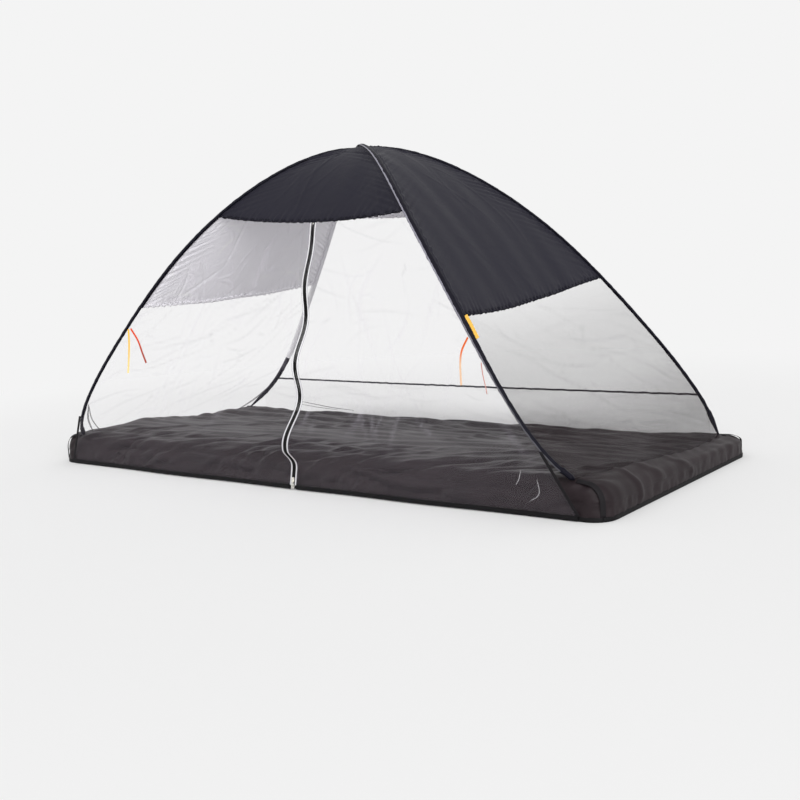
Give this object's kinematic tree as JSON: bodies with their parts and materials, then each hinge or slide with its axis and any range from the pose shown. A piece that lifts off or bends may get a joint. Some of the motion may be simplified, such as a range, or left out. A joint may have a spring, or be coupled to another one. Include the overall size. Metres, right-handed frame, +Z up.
{
  "type": "pop-up bed tent",
  "caption": "Netted dome tent for a single bed: crossed sprung rods in sleeves over a fitted mattress cover, with a zipped front and tie ribbons",
  "frame": {"origin": "middle of the base cover's lower edge, on the plane it stands on", "axes": "+X towards the foot end, +Y towards the back, away from the zipped front, +Z up"},
  "size_m": [2.114, 0.9916, 1.0058],
  "materials": {
    "roof_polyester": "plain-weave charcoal polyester, matt",
    "cover_polyester": "black-charcoal polyester with a slight sheen",
    "sleeve_polyester": "dark navy-black polyester tape",
    "netting": "fine pale grey mosquito netting, see-through",
    "zip_tape": "pale grey woven zip tape",
    "zip_nylon": "black nylon coil",
    "nickel_plate": "nickel-plated zinc",
    "fibreglass_rod": "off-white drawn fibreglass",
    "black_nylon": "moulded black nylon",
    "tie_orange": "orange grosgrain ribbon",
    "tie_yellow": "yellow grosgrain ribbon",
    "label_yellow": "blank yellow woven label"
  },
  "bodies": {
    "tent": {"back_seam_tape": "sleeve_polyester", "base_binding_back": "cover_polyester", "base_binding_foot": "cover_polyester", "base_binding_front": "cover_polyester", "base_binding_head": "cover_polyester", "corner_strap_back_left": "sleeve_polyester", "corner_strap_back_right": "sleeve_polyester", "corner_strap_front_left": "sleeve_polyester", "corner_strap_front_right": "sleeve_polyester", "door_hem_left": "sleeve_polyester", "door_hem_right": "sleeve_polyester", "door_net_left": "netting", "door_net_right": "netting", "door_seam_tape_left": "sleeve_polyester", "door_seam_tape_right": "sleeve_polyester", "floor_panel": "cover_polyester", "foot_pocket_back_left": "sleeve_polyester", "foot_pocket_back_right": "sleeve_polyester", "foot_pocket_front_left": "sleeve_polyester", "foot_pocket_front_right": "sleeve_polyester", "hem_binding_back": "sleeve_polyester", "hem_binding_foot": "sleeve_polyester", "hem_binding_front": "sleeve_polyester", "hem_binding_head": "sleeve_polyester", "net_back_lower": "netting", "net_back_upper": "netting", "net_foot": "netting", "net_head": "netting", "rod_lower": "fibreglass_rod", "rod_tip_back_left": "black_nylon", "rod_tip_back_right": "black_nylon", "rod_tip_front_left": "black_nylon", "rod_tip_front_right": "black_nylon", "rod_upper": "fibreglass_rod", "roof_back": "roof_polyester", "roof_foot": "roof_polyester", "roof_front": "roof_polyester", "roof_head": "roof_polyester", "side_label": "label_yellow", "skirt_back": "cover_polyester", "skirt_foot": "cover_polyester", "skirt_front": "cover_polyester", "skirt_head": "cover_polyester", "sleeve_lower": "sleeve_polyester", "sleeve_upper": "sleeve_polyester", "tie_left_orange": "tie_orange", "tie_left_yellow": "tie_yellow", "tie_right_orange": "tie_orange", "tie_right_pink": "tie_orange", "zip_chain": "zip_nylon", "zip_stop_foot_left": "nickel_plate", "zip_stop_foot_right": "nickel_plate", "zip_stop_top": "nickel_plate", "zip_tape_left": "zip_tape", "zip_tape_right": "zip_tape"},
    "slider": {"zip_slider": "nickel_plate"},
    "outer_pull": {"zip_pull_outer": "nickel_plate"},
    "inner_pull": {"zip_pull_inner": "nickel_plate"}
  },
  "joints": [
    {"name": "zip_run", "type": "slide", "parent": "tent", "child": "slider", "axis": [-0.0194, 0.2365, 0.9714], "range_m": [0, 0.7454], "deforming": ["zip_chain", "zip_tape_left", "zip_tape_right"]},
    {"name": "outer_pull_swing", "type": "hinge", "parent": "slider", "child": "outer_pull", "pos_m": [0.05469, -0.47776, 0.03041], "axis": [-0.9998, -0.0046, -0.0188], "range_deg": [0, 170]},
    {"name": "inner_pull_swing", "type": "hinge", "parent": "slider", "child": "inner_pull", "pos_m": [0.05469, -0.47067, 0.02868], "axis": [0.9998, 0.0046, 0.0188], "range_deg": [0, 15]}
  ]
}
